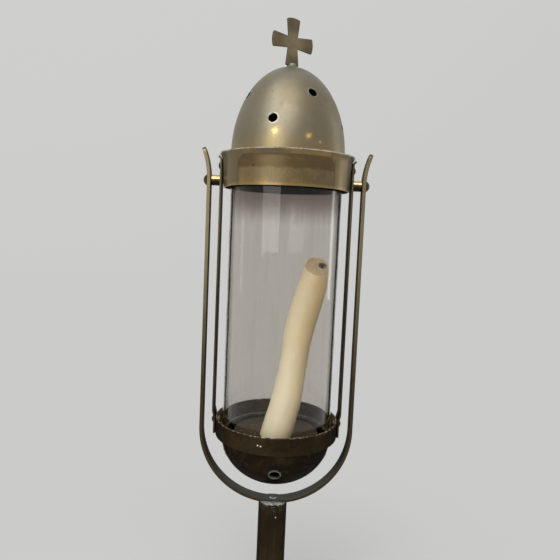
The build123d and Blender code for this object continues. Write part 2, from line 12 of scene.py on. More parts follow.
import bpy
from bpy.props import FloatProperty, FloatVectorProperty, IntProperty, PointerProperty
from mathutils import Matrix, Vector

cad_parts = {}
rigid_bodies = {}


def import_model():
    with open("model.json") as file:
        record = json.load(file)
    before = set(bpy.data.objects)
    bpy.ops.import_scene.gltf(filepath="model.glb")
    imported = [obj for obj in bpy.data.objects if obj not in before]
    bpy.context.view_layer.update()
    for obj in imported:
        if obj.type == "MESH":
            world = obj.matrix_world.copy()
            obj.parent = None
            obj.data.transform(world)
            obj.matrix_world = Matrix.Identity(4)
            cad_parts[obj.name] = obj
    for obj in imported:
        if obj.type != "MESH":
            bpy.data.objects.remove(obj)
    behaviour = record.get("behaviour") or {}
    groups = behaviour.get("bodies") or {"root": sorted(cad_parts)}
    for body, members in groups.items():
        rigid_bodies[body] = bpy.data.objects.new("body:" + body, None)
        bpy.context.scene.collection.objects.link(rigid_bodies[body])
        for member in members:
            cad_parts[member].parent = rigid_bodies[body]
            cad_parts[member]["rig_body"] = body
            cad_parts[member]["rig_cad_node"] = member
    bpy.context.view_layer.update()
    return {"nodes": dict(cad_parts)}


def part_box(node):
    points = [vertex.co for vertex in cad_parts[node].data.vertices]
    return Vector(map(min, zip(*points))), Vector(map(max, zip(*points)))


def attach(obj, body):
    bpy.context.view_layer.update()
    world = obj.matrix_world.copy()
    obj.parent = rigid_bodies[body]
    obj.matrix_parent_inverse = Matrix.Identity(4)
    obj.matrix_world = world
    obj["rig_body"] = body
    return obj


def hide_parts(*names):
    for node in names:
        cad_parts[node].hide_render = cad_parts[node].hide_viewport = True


bl_info = {
    "name": "Processional Lantern",
    "version": (1, 0, 0),
    "blender": (4, 5, 0),
    "location": "View3D > Sidebar > Lantern",
    "description": "Finishes and hand-worked details for a processional lantern in a yoke",
    "category": "Object",
}

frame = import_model()
MM = 0.001


def level(node, end):
    """The height of a CAD node's lower (0) or upper (1) end, in millimetres."""
    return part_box(node)[end].z / MM


def reach(node):
    """How far out a CAD node comes on the right-hand side, in millimetres."""
    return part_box(node)[1].x / MM


def tone(red, green, blue):
    """A screen colour, 0 to 255, as the linear colour that materials take."""
    return tuple(((value / 255 + 0.055) / 1.055) ** 2.4 for value in (red, green, blue))


COLLAR_FOOT = level("top_collar", 0)
COLLAR_RIM = level("top_collar", 1)
PIVOT = (level("pivot_bush_right", 0) + level("pivot_bush_right", 1)) / 2
DOME_TOP = level("lid_dome", 1)
DOME_SEAT = level("lid_dome", 0)
CUP_RIM = level("cup_band", 1)
CUP_FOOT = level("cup_band", 0)
BOWL_FOOT = level("drip_bowl", 0)
PLATE_TOP = level("candle_plate", 1)
SOCKET_TOP = level("pole_socket", 1)
GLASS_FOOT = level("glass_chimney", 0)
YOKE_FOOT = level("yoke_bar", 0)
YOKE_TIP = level("yoke_bar", 1)
CROSS_TURN = 0.45  # the CAD cross's turn about Z, in radians


def colour(name, description, *rgb):
    """A colour that a user may change."""
    return FloatVectorProperty(
        name=name,
        description=description,
        subtype="COLOR",
        size=3,
        min=0,
        max=1,
        default=tone(*rgb),
    )


def length(name, description, millimetres, least=0.0):
    """A length that a user may change, given here in millimetres."""
    return FloatProperty(
        name=name,
        description=description,
        unit="LENGTH",
        default=millimetres * MM,
        min=least * MM,
    )


def power(name, description, watts):
    """A lamp's power that a user may change."""
    return FloatProperty(name=name, description=description, unit="POWER", default=watts, min=0)


class LanternTones(bpy.types.PropertyGroup):
    """Colours of the lantern's finishes."""

    dome_grey: colour("Dome grey", "Dull grey-brass film on the lid", 136, 129, 111)
    dome_warm: colour("Dome warm", "Warmer clouds in the lid's film", 132, 121, 97)
    # Also the soft halo round each painted highlight on the lid
    dome_gold: colour("Dome gold", "Brass rubbed bright near the lid's brim", 172, 146, 92)
    collar_brown: colour("Collar brown", "Brown brass of the collar", 150, 126, 83)
    # Also the lighter sides of the painted reflection on the collar
    collar_grey_and_bright_reflection: colour("Collar grey", "Greyer brass at the collar's sides", 120, 106, 80)
    # Also the dark band and edges of the painted reflection on the collar
    collar_shade: colour("Collar shade", "Deeper brown clouds on the collar", 92, 75, 49)
    # Also painted highlights: the line along the collar's rim, the rings round the lid's vents and
    # the line along the lid's brim
    pale_edge_and_highlight: colour("Rim line", "Worn pale edge of the collar's rim", 208, 205, 190)
    old_brown: colour("Old brown", "Dark brown patina of the cup, bowl and socket", 60, 49, 34)
    old_dark: colour("Old dark", "Darker clouds of the brown patina", 44, 36, 25)
    # Also the painted shade on the lower half of the pivot bushes
    old_black: colour("Old black", "Blackest clouds of the dark patina", 30, 25, 18)
    # Also a painted sheen on the upward faces of the yoke's bend
    slate: colour("Slate", "Blue-grey film on the yoke's bend", 104, 106, 106)
    khaki: colour("Khaki", "Handled khaki brass of the yoke's upper arms", 138, 126, 96)
    # Painted highlights: the bright cores of the spots laid on the lid where lamps would glint
    glint_gold: colour("Worn gold", "Spots of the lid worn through to gold", 240, 208, 138)
    # Also the painted highlight along the top of the pivot bushes
    rubbed: colour("Rubbed brass", "Bare brass where edges are rubbed", 206, 180, 122)
    soot: colour("Soot", "Soot inside the lid and the bowl", 20, 18, 15)
    cross_brown: colour("Cross brown", "Khaki brown of the cross", 160, 142, 108)
    cross_dark: colour("Cross dark", "Darker clouds and edges of the cross", 78, 67, 50)
    solder_grey: colour("Solder", "Greenish grey of old solder", 146, 150, 136)
    # Also painted highlights: the rivet head's front rim and the brazing's front
    braze_pale: colour("Braze", "Bluish white of the brazing", 228, 236, 238)
    verdigris: colour("Verdigris", "Green growth in the corners", 96, 128, 104)
    plate_brown: colour("Plate brown", "Dull brown of the candle plate", 88, 74, 56)
    # Also pale specks in the painted highlight on the pivot bushes
    wax_ivory: colour("Wax ivory", "Candle wax on its lighter side", 238, 230, 203)
    # Also the painted shade on the candle's right-facing side
    wax_honey_and_shade: colour("Wax honey", "Warmer, older wax up the candle", 222, 192, 134)
    wax_cut: colour("Wax cut", "Dusty cut top of the candle", 186, 166, 134)
    char: colour("Char", "Burnt cotton of the wick", 24, 21, 18)
    glass_clear: colour("Glass", "Glass with a faint warm smoke", 230, 227, 222)
    glass_edge: colour("Glass edge", "Glass where it is seen edge on", 251, 250, 248)
    # Also painted shade high up in the glass under the collar
    glass_smoke_and_shade: colour("Glass smoke", "Smoke film high up in the glass", 170, 161, 153)


class LanternSizes(bpy.types.PropertyGroup):
    """Sizes of the hand-worked details."""

    edge_round: length("Edge round", "Rounding of the cross's and the straps' filed edges", 0.35)
    solder_lump: length("Solder lumps", "How far the solder's lumps stand out of a bead", 0.7)
    solder_pitch: length("Lump pitch", "Distance from one lump of solder to the next", 4.5, 1)
    solder_spread: FloatProperty(
        name="Solder spread",
        description="How much wider the heap at the cross's foot ran than its plain form",
        default=1.35,
        min=1,
    )
    lid_turn: FloatProperty(
        name="Lid turn",
        description="How far the loose lid is turned in its seat, with its cross and vents",
        subtype="ANGLE",
        default=radians(10),
    )
    cross_share: FloatProperty(
        name="Cross share",
        description="Share of the lid's turn that the cross takes with it",
        subtype="FACTOR",
        default=0.4,
        min=0,
        max=1,
    )
    candle_sides: IntProperty(
        name="Candle sides",
        description="Sides of the candle before it is smoothed",
        default=14,
        min=6,
    )
    wax_wave: length("Wax wave", "How uneven the candle's surface is", 0.7)
    wick_radius: length("Wick radius", "Radius of the burnt wick at its foot", 0.8, 0.1)


class LanternStudio(bpy.types.PropertyGroup):
    """Camera, lamps and backdrop."""

    camera_place: FloatVectorProperty(
        name="Camera place",
        description="Where the camera stands",
        subtype="TRANSLATION",
        unit="LENGTH",
        size=3,
        default=(-0.00705, -0.5357, 0.39088),
    )
    camera_turn: FloatVectorProperty(
        name="Camera turn",
        description="The camera's rotation",
        subtype="EULER",
        unit="ROTATION",
        size=3,
        default=(radians(84.926), radians(-2.4839), radians(-0.2884)),
    )
    lens: FloatProperty(
        name="Lens",
        description="Focal length on a 36 mm wide sensor",
        subtype="DISTANCE_CAMERA",
        default=35.497,
        min=1,
    )
    backdrop: FloatVectorProperty(
        name="Backdrop",
        description="Colour of the pale backdrop",
        subtype="COLOR",
        size=3,
        min=0,
        max=1,
        default=tone(203, 203, 202),
    )
    key_power: power("Key light", "Power of the large lamp above the front", 28)
    fill_power: power("Fill light", "Power of the large lamp low at the front left", 13.5)
    edge_power: power("Edge light", "Power of the tall narrow lamp at the right", 3)


class Value:
    """A number that changes over a surface. Sums on it add Math nodes."""

    def __init__(self, nodes, socket):
        self.nodes = nodes
        self.socket = socket

    def maths(self, operation, *terms):
        """A Math node on these numbers or values."""
        return self.nodes.node("Math", {"operation": operation}, dict(enumerate(terms)))

    def __add__(self, other):
        return self.maths("ADD", self, other)

    def __sub__(self, other):
        return self.maths("SUBTRACT", self, other)

    def __rsub__(self, other):
        return self.maths("SUBTRACT", other, self)

    def __mul__(self, other):
        return self.maths("MULTIPLY", self, other)

    def __truediv__(self, other):
        return self.maths("DIVIDE", self, other)

    def __pow__(self, other):
        return self.maths("POWER", self, other)

    def __abs__(self):
        return self.maths("ABSOLUTE", self)

    __radd__ = __add__
    __rmul__ = __mul__

    def least(self, other):
        """The smaller of two values."""
        return self.maths("MINIMUM", self, other)

    def most(self, other):
        """The larger of two values."""
        return self.maths("MAXIMUM", self, other)

    def rise(self, low, high):
        """0 below low, 1 above high, and a soft step between. It falls where low is the larger."""
        settings = {"interpolation_type": "SMOOTHSTEP", "clamp": True}
        ends = {"From Min": low, "From Max": high, "To Min": 0.0, "To Max": 1.0}
        if low > high:
            ends = {"From Min": high, "From Max": low, "To Min": 1.0, "To Max": 0.0}
        return self.nodes.node("MapRange", settings, {"Value": self, **ends})


class Nodes:
    """A node tree that is filled by calls."""

    def __init__(self, tree):
        self.tree = tree
        tree.nodes.clear()

    def node(self, kind, settings=None, inputs=None, outputs=(0,)):
        """Adds a node. Its settings go first, then the values and links of its sockets."""
        made = self.tree.nodes.new("ShaderNode" + kind)
        for name, value in (settings or {}).items():
            setattr(made, name, value)
        for name, value in (inputs or {}).items():
            if isinstance(value, Value):
                self.tree.links.new(value.socket, made.inputs[name])
            elif made.inputs[name].type == "RGBA":
                made.inputs[name].default_value = (*value, 1)
            else:
                made.inputs[name].default_value = value
        found = [Value(self, made.outputs[name]) for name in outputs if made.outputs]
        return found[0] if len(found) == 1 else found

    def rays(self, *kinds):
        """Whether a ray is of each of these kinds, as 1 or 0."""
        return self.node("LightPath", outputs=[f"Is {kind} Ray" for kind in kinds])


class Finish(Nodes):
    """A material built in layers over a ground colour, with places and patterns in millimetres."""

    def __init__(self, name, ground, roughness=0.5, metallic=0.0):
        self.material = bpy.data.materials.new(name)
        self.material.use_nodes = True
        super().__init__(self.material.node_tree)
        self.object_place, self.facing = self.node("TexCoord", outputs=("Object", "Normal"))
        self.place = self.stretched(1, 1, 1)
        self.x, self.y, self.z = self.split(self.place)
        self.face_x, self.face_y, self.face_z = self.split(self.facing)
        self.colour = ground
        self.roughness = roughness
        self.metallic = metallic
        self.relief = None

    def split(self, vector):
        """The three numbers of a vector."""
        return self.node("SeparateXYZ", {}, {0: vector}, ("X", "Y", "Z"))

    def stretched(self, x, y, z):
        """The place on the part in millimetres, scaled along each axis."""
        scale = {"Vector": self.object_place, "Scale": (x / MM, y / MM, z / MM)}
        return self.node("Mapping", {}, scale)

    def distance(self, x, y, z):
        """How far a place is from a point, in millimetres."""
        inputs = {0: self.place, 1: (x, y, z)}
        return self.node("VectorMath", {"operation": "DISTANCE"}, inputs, ("Value",))

    def nearest(self, points):
        """How far a place is from the nearest of some points."""
        return reduce(Value.least, (self.distance(*point) for point in points))

    def noise(self, size, detail=4.0, roughness=0.6, at=None, warp=0.0):
        """Clouds of a given size."""
        inputs = {
            "Vector": at or self.place,
            "Scale": 1 / size,
            "Detail": detail,
            "Roughness": roughness,
            "Distortion": warp,
        }
        return self.node("TexNoise", {}, inputs)

    def cells(self, size):
        """How far a place is from the nearest of many scattered points, in shares of a size."""
        inputs = {"Vector": self.place, "Scale": 1 / size}
        return self.node("TexVoronoi", {}, inputs, ("Distance",))

    def radius(self):
        """How far out a place is from the lantern's axis."""
        return (self.x * self.x + self.y * self.y) ** 0.5

    def edge(self, width):
        """Where the surface turns a corner within a width in millimetres."""
        soft = self.node("Bevel", {"samples": 6}, {"Radius": width * MM})
        hard = self.node("NewGeometry", outputs=("Normal",))
        settings = {"operation": "DOT_PRODUCT"}
        agree = self.node("VectorMath", settings, {0: soft, 1: hard}, ("Value",))
        return (1 - agree).rise(0.02, 0.22)

    def rub(self, share, colour, roughness, metallic, width, pitch, low, high, detail=4):
        """Rubs the edges bare in places."""
        places = self.edge(width) * self.noise(pitch, detail=detail).rise(low, high)
        self.lay(places * share, colour, roughness, metallic)

    def lay(self, mask, colour=None, roughness=None, metallic=None):
        """Lays a colour, a roughness or a metal share over what is there, where a mask says."""
        if colour is not None:
            inputs = {0: mask, 6: self.colour, 7: colour}
            self.colour = self.node("Mix", {"data_type": "RGBA"}, inputs, (2,))
        if roughness is not None:
            self.roughness = mask * (roughness - self.roughness) + self.roughness
        if metallic is not None:
            self.metallic = mask * (metallic - self.metallic) + self.metallic

    def bump(self, height, depth):
        """Raises the surface by a height from 0 to 1 times a depth in millimetres."""
        raised = height * depth
        self.relief = raised if self.relief is None else self.relief + raised

    def bake_shader(self, **constants):
        """Joins the layers in one Principled shader. Constants are set on its own sockets."""
        inputs = {
            "Base Color": self.colour,
            "Roughness": self.roughness,
            "Metallic": self.metallic,
            **constants,
        }
        if self.relief is not None:
            inputs["Normal"] = self.node("Bump", {}, {"Distance": MM, "Height": self.relief})
        return self.node("BsdfPrincipled", {}, inputs)

    def done(self, shader=None, **constants):
        """Ends the material and returns it."""
        self.node("OutputMaterial", {}, {"Surface": shader or self.bake_shader(**constants)})
        return self.material

    def done_dark(self, tones):
        """Ends a dark finish, whose grazing reflections are brown too."""
        return self.done(**{"Specular Tint": tuple(tones.khaki)})


def aged_brass(name, ground, cloud, speck, cloud_size, speck_share, rough):
    """Brass under an old film: clouds, mottling, specks of corrosion and fine pitting."""
    brass = Finish(name, ground, roughness=rough, metallic=0.85)
    clouds = brass.noise(cloud_size, detail=3, warp=0.4).rise(0.34, 0.66)
    mottle = brass.noise(4.5, detail=7, roughness=0.68)
    grain = brass.noise(0.8, detail=3)
    brass.lay(clouds, cloud, roughness=rough + 0.05)
    brass.lay(mottle.rise(0.5, 0.74) * speck_share, speck, roughness=rough + 0.12, metallic=0.6)
    pits = brass.cells(2.6).rise(0.26, 0.1) * brass.noise(9, detail=2).rise(0.5, 0.64)
    brass.lay(pits * speck_share, speck, roughness=0.7, metallic=0.5)
    brass.lay(grain.rise(0.54, 0.7) * 0.2, speck)
    brass.bump(mottle, 0.04)
    brass.bump(grain, 0.022)
    brass.bump(1 - pits, 0.04)
    return brass


def coat(material, *nodes):
    """Gives CAD nodes their material."""
    for node in nodes:
        obj = frame["nodes"][node]
        obj.data.materials.clear()
        obj.data.materials.append(material)


def choose(obj):
    """Selects one object alone and makes it active."""
    if bpy.context.object and bpy.context.object.mode != "OBJECT":
        bpy.ops.object.mode_set(mode="OBJECT")
    bpy.ops.object.select_all(action="DESELECT")
    obj.select_set(True)
    bpy.context.view_layer.objects.active = obj


def edit(obj):
    """Opens a mesh for editing, with all of it selected."""
    choose(obj)
    bpy.ops.object.mode_set(mode="EDIT")
    bpy.ops.mesh.select_all(action="SELECT")


def disc(name, sides, radius, place, turn=(0, 0, 0)):
    """A flat disc with its place in its mesh."""
    bpy.ops.object.select_all(action="DESELECT")
    bpy.ops.mesh.primitive_circle_add(
        vertices=sides, radius=radius, fill_type="NGON", location=place, rotation=turn
    )
    obj = bpy.context.object
    obj.name = obj.data.name = name
    bpy.ops.object.transform_apply(location=True, rotation=True)
    return obj


def whole_copy(node, name, flat=True):
    """A copy of a CAD node as one closed mesh, with its flat faces joined unless flat is off."""
    choose(frame["nodes"][node])
    bpy.ops.object.duplicate()
    copy = bpy.context.object
    copy.name = copy.data.name = name
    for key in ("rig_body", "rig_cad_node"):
        if key in copy:
            del copy[key]
    world = copy.matrix_world.copy()
    copy.parent = None
    copy.matrix_world = world
    copy.data.materials.clear()
    edit(copy)
    bpy.ops.mesh.remove_doubles(threshold=0.002 * MM)
    if flat:
        bpy.ops.mesh.dissolve_limited(angle_limit=radians(0.5))
    bpy.ops.object.mode_set(mode="OBJECT")
    if copy.data.has_custom_normals:
        bpy.ops.mesh.customdata_custom_splitnormals_clear()
    return copy


def modify(obj, kind, **settings):
    """Adds a modifier, sets it and applies it."""
    choose(obj)
    modifier = obj.modifiers.new(kind.title(), kind)
    for name, value in settings.items():
        setattr(modifier, name, value)
    bpy.ops.object.modifier_apply(modifier=modifier.name)


def wavy(obj, pitch, depth):
    """Pushes a surface in and out in soft waves."""
    texture = bpy.data.textures.new(obj.name + "_waves", "CLOUDS")
    texture.noise_scale = pitch
    texture.noise_depth = 2
    modify(obj, "DISPLACE", texture=texture, strength=depth, mid_level=0.5, texture_coords="LOCAL")


def lumpy(obj, grid, pitch, lump):
    """Turns a smooth bead into one that ran and froze: remeshed, pushed about and smoothed."""
    modify(obj, "REMESH", mode="VOXEL", voxel_size=grid)
    wavy(obj, pitch, lump)
    modify(obj, "SMOOTH", factor=0.5, iterations=3)
    bpy.ops.object.shade_smooth()


def filed(obj, width):
    """Rounds the sharp edges of a plate as a file leaves them."""
    modify(
        obj,
        "BEVEL",
        width=width,
        segments=3,
        limit_method="ANGLE",
        angle_limit=radians(35),
        use_clamp_overlap=True,
    )
    bpy.ops.object.shade_smooth_by_angle(angle=radians(35))


def turned(obj, angle):
    """Turns a piece about the lantern's axis, its place kept in its mesh."""
    choose(obj)
    obj.rotation_mode = "XYZ"
    obj.rotation_euler.z += angle
    bpy.ops.object.transform_apply(location=False, rotation=True, scale=False)


def spread(obj, share):
    """Widens a heap about the lantern's axis."""
    edit(obj)
    bpy.ops.transform.resize(value=(share, share, 1), center_override=(0, 0, 0))
    bpy.ops.object.mode_set(mode="OBJECT")


def place(obj, body, slot, material, *nodes):
    """Hands a finished piece to its body in place of CAD nodes."""
    obj.data.materials.clear()
    obj.data.materials.append(material)
    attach(obj, body)
    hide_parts(*nodes)


class LanternOperator:
    """What the lantern's operators share."""

    bl_options = {"REGISTER", "UNDO"}

    def execute(self, context):
        """Runs the work with the scene's settings. What goes wrong is raised."""
        scene = context.scene
        self.work(scene.lantern_tones, scene.lantern_sizes, scene.lantern_studio)
        return {"FINISHED"}


class LANTERN_OT_dome(LanternOperator, bpy.types.Operator):
    """Turns the domed lid in its seat and finishes it: a grey film, warmer low down, soot inside"""

    bl_idname = "lantern.dome"
    bl_label = "Domed lid"

    # Azimuths from the front and height of each row of vents, before the lid is turned
    vent_rows = ((17, 106, 194, 282), 52.0), ((-27, 65, 152, 243), 26.5)
    # Painted highlights, laid as bright spots where lamps would glint: azimuth from the front,
    # height above the widest section, radius
    glint_spots = (-14, 14.2, 6.4), (18, 12.4, 5.2), (30, 7.8, 2.8)
    # From the lid's foot up to its widest section, and from the spigot's outside to the dome's
    brim = 3.5
    wall = 1.25

    def work(self, tones, sizes, studio):
        dome = aged_brass(
            "lid_brass", tones.dome_grey, tones.dome_warm, tones.cross_dark, 40, 0.2, 0.41
        )
        foot = DOME_SEAT + self.brim
        tall = DOME_TOP - foot
        wide = reach("lid_spigot") + self.wall
        height = dome.z - foot
        veil = dome.noise(15, detail=4, roughness=0.55)
        low = (height + veil * 22).rise(54, 14)
        dome.lay(low * 0.7, tones.dome_warm, 0.38)
        dome.lay((height + veil * 14).rise(24, 5) * 0.35, tones.dome_gold, 0.36)
        dome.lay(height.rise(58, 84) * 0.35, tones.solder_grey, 0.5, 0.6)
        fray = dome.noise(5, detail=5, roughness=0.7)
        # Painted highlights: a soft gold halo and a bright core at each glint spot
        for azimuth, rise, size in self.glint_spots:
            gap = dome.distance(*self.on_dome(azimuth, rise, foot, tall, wide))
            dome.lay((gap + fray * size).rise(size * 2, size * 0.6) * 0.5, tones.dome_gold, 0.32)
            glint = gap + fray * size * 1.6
            dome.lay(glint.rise(size * 1.5, size * 0.75) * 0.8, tones.glint_gold, 0.26, 0.5)
        wiped = dome.noise(1.2, detail=3, at=dome.stretched(1, 1, 0.12))
        dome.lay(wiped.rise(0.56, 0.75) * 0.12, tones.cross_dark)
        dome.bump(wiped, 0.01)
        dome.bump(dome.noise(18, detail=1), 0.22)
        # A pale line along the lid's brim: a painted reflection
        dome.lay(height.rise(0.4, -0.6) * 0.7, tones.pale_edge_and_highlight, 0.4, 0.6)
        turn = sizes.lid_turn / radians(1)
        vents = (
            self.on_dome(azimuth + turn, rise, foot, tall, wide)
            for azimuths, rise in self.vent_rows
            for azimuth in azimuths
        )
        # Pale rings round the vents: painted highlights on their edges
        rim = dome.nearest(vents).rise(5.6, 4.9) * dome.noise(3.4, detail=2).rise(0.42, 0.6)
        dome.lay(rim * 0.5, tones.pale_edge_and_highlight, 0.34, 0.6)
        out = dome.radius() / (wide - 0.05)
        up = height / tall
        within = (out * out + up * up).rise(0.99, 0.97)
        dome.lay(within, tones.soot, 0.85, 0.0)
        material = dome.done()
        coat(material, "lid_spigot")
        lid = whole_copy("lid_dome", "turned_lid", flat=False)
        turned(lid, sizes.lid_turn)
        bpy.ops.object.shade_smooth_by_angle(angle=radians(28))
        place(lid, "lid", "lid_brass", material, "lid_dome")

    def on_dome(self, azimuth, rise, foot, tall, wide):
        """A place on the dome's outside, in millimetres."""
        out = wide * sqrt(1 - (rise / tall) ** 2)
        return sin(radians(azimuth)) * out, -cos(radians(azimuth)) * out, foot + rise


class LANTERN_OT_collar(LanternOperator, bpy.types.Operator):
    """Finishes the collar and the ledge inside it: brown brass with a painted reflection, darker
    across its front middle and lighter at its sides, and a painted highlight along its rim
    """

    bl_idname = "lantern.collar"
    bl_label = "Collar"

    def work(self, tones, sizes, studio):
        collar = aged_brass(
            "collar_brass", tones.collar_brown, tones.collar_grey_and_bright_reflection, tones.collar_shade, 26, 0.2, 0.3
        )
        up = collar.z - COLLAR_FOOT
        soft = collar.noise(9, detail=3)
        # Painted reflection: a darker brown zone across the collar's front middle, and lighter grey
        # brass everywhere else
        side = (abs(collar.x + 1.5) + up.rise(20, 27) * 3.5).rise(41.5, 43)
        front = collar.y.rise(-20, -26) * (1 - side)
        collar.lay(1 - front, tones.collar_grey_and_bright_reflection, 0.34)
        lines = collar.noise(7, detail=2, at=collar.stretched(1, 1, 0.1))
        collar.lay((1 - front) * lines.rise(0.44, 0.6) * 0.35, tones.collar_brown, 0.3)
        # A darker band across the upper front: part of the painted reflection
        reflection_band = (up + soft * 4).rise(15.5, 18.5) * up.rise(27.5, 26)
        collar.lay(front * reflection_band * 0.75, tones.collar_shade, 0.38)
        patch = front * (up + soft * 5).rise(22, 17) * collar.x.rise(-34, -8)
        tarnish = collar.noise(0.7, detail=5, roughness=0.8, warp=0.3)
        collar.lay(patch * tarnish.rise(0.47, 0.6) * 0.7, tones.collar_shade, 0.42)
        collar.lay(patch * tarnish.rise(0.47, 0.36) * 0.2, tones.dome_gold, 0.28)
        collar.lay(up.rise(3.5, 0.8) * 0.5, tones.dome_gold, 0.28)
        scratch = collar.noise(0.7, detail=3, at=collar.stretched(0.12, 0.12, 1))
        collar.lay(scratch.rise(0.6, 0.74) * 0.18, tones.rubbed, 0.3)
        collar.bump(scratch, 0.01)
        collar.bump(collar.noise(14, detail=1), 0.12)
        stain = collar.distance(-29.9, -52.6, COLLAR_FOOT + 16.3).rise(1.5, 0.7)
        stain = stain.most(collar.distance(-44, -41, COLLAR_FOOT + 13).rise(1.0, 0.5))
        collar.lay(stain * 0.8, tones.old_black, 0.6, 0.4)
        # Darker lines along the sides of the painted reflection
        edge = (abs(abs(collar.x + 1.5) - 42.4)).rise(1.4, 0.2) * collar.y.rise(-20, -26)
        collar.lay(edge * up.rise(27, 22) * 0.45, tones.collar_shade, 0.4)
        # The pale line along the top of the rim: a painted highlight
        lip = (collar.z + soft * 0.8).rise(COLLAR_RIM - 0.7, COLLAR_RIM - 0.2)
        collar.lay(lip * (0.45 + 0.55 * soft.rise(0.4, 0.55)), tones.pale_edge_and_highlight, 0.32, 0.5)
        collar.rub(0.5, tones.rubbed, 0.28, 0.95, width=0.8, pitch=5, low=0.36, high=0.58)
        inner = collar.radius().rise(reach("glass_chimney") + 5.6, reach("glass_chimney") + 4.8)
        collar.lay(inner * collar.z.rise(COLLAR_RIM - 2, COLLAR_RIM - 5), tones.old_black, 0.7)
        coat(collar.done(), "top_collar", "collar_ledge")


class LANTERN_OT_cup(LanternOperator, bpy.types.Operator):
    """Finishes the cup: dark brown patina, rubbed along its rim, dusty inside"""

    bl_idname = "lantern.cup"
    bl_label = "Cup"

    def work(self, tones, sizes, studio):
        cup = aged_brass(
            "cup_brass", tones.old_brown, tones.old_dark, tones.plate_brown, 30, 0.2, 0.36
        )
        cloudy = cup.noise(8, detail=4)
        cup.lay(cloudy.rise(0.5, 0.72) * 0.16, tones.collar_shade, 0.34)
        rings = cup.noise(0.9, detail=3, at=cup.stretched(0.1, 0.1, 1))
        cup.bump(rings, 0.008)
        inside = cup.radius().rise(reach("glass_chimney") + 6.3, reach("glass_chimney") + 5.8)
        dust = cup.noise(4, detail=6, roughness=0.72)
        cup.lay(inside * 0.85, tones.plate_brown, 0.55, 0.4)
        cup.lay(inside * dust.rise(0.48, 0.62) * 0.5, tones.khaki, 0.7, 0.2)
        cup.lay(inside * dust.rise(0.48, 0.38) * 0.7, tones.old_black, 0.6, 0.4)
        cup.rub(0.5, tones.khaki, 0.3, 0.9, width=0.8, pitch=2.5, low=0.42, high=0.6)
        nick = cup.z.rise(CUP_RIM - 0.8, CUP_RIM - 0.2) * cup.noise(3, detail=5).rise(0.48, 0.6)
        cup.lay(nick * 0.6, tones.pale_edge_and_highlight, 0.32, 0.8)
        flecks = cup.distance(-16.4, -57.7, CUP_RIM - 7.9).rise(0.95, 0.4)
        flecks = flecks.most(cup.distance(-13.7, -58.4, CUP_RIM - 8.4).rise(0.95, 0.4))
        cup.lay(flecks * 0.85, tones.wax_ivory, 0.5, 0.0)
        coat(cup.done_dark(tones), "cup_band")


class LANTERN_OT_bowl(LanternOperator, bpy.types.Operator):
    """Finishes the bowl and makes the solder that ran round its top"""

    bl_idname = "lantern.bowl"
    bl_label = "Bowl and its solder"

    # From the bowl's top down to the middles of its vents
    vent_drop = 21.6

    def work(self, tones, sizes, studio):
        bowl = aged_brass(
            "bowl_brass", tones.old_dark, tones.old_black, tones.soot, 34, 0.22, 0.3
        )
        cloudy = bowl.noise(9, detail=4, warp=0.4)
        bowl.lay(cloudy.rise(0.46, 0.7) * 0.25, tones.collar_shade, 0.28)
        drop = CUP_FOOT - BOWL_FOOT
        wide = reach("glass_chimney") + 0.6
        out = wide * sqrt(1 - (self.vent_drop / drop) ** 2)
        across = (out, 0), (-out, 0), (0, out), (0, -out)
        vent = bowl.nearest((x, y, CUP_FOOT - self.vent_drop) for x, y in across)
        lip = vent.rise(6.4, 5.8) * vent.rise(4.6, 5.2)
        bowl.lay(lip * (0.12 + 0.3 * bowl.noise(2.5).rise(0.4, 0.58)), tones.pale_edge_and_highlight, 0.34, 0.6)
        share = bowl.radius() / wide
        down = (bowl.z - CUP_FOOT) / drop
        within = (share * share + down * down).rise(0.985, 0.965)
        bowl.lay(within, tones.soot, 0.8, 0.1)
        bowl.bump(bowl.noise(16, detail=1), 0.16)
        coat(bowl.done_dark(tones), "drip_bowl")

        solder = aged_brass(
            "bowl_solder_grey", tones.khaki, tones.collar_shade, tones.old_brown, 5, 0.4, 0.3
        )
        bead = whole_copy("bowl_solder", "bowl_seam")
        lumpy(bead, 0.4 * MM, sizes.solder_pitch * 1.6, sizes.solder_lump * 1.5)
        place(bead, "lantern", "solder", solder.done(), "bowl_solder")


class LANTERN_OT_plate(LanternOperator, bpy.types.Operator):
    """Finishes the candle plate and its pricket: dull brown, scraped and spotted with wax"""

    bl_idname = "lantern.plate"
    bl_label = "Candle plate"

    def work(self, tones, sizes, studio):
        plate = aged_brass(
            "plate_brass", tones.plate_brown, tones.collar_shade, tones.old_black, 12, 0.5, 0.5
        )
        scrape = plate.noise(0.9, detail=3, at=plate.stretched(1, 0.12, 1))
        plate.lay(scrape.rise(0.58, 0.7) * 0.4, tones.khaki, 0.4)
        plate.bump(scrape, 0.03)
        specks = plate.cells(3.4).rise(0.2, 0.1) * plate.noise(16, detail=1).rise(0.5, 0.6)
        top = plate.z.rise(PLATE_TOP - 0.4, PLATE_TOP - 0.1)
        plate.lay(specks * top * 0.7, tones.wax_ivory, 0.45, 0.0)
        plate.bump(specks, 0.15)
        plate.rub(0.6, tones.khaki, 0.32, 0.95, width=0.7, pitch=4, low=0.35, high=0.55)
        coat(plate.done(), "candle_plate", "pricket")


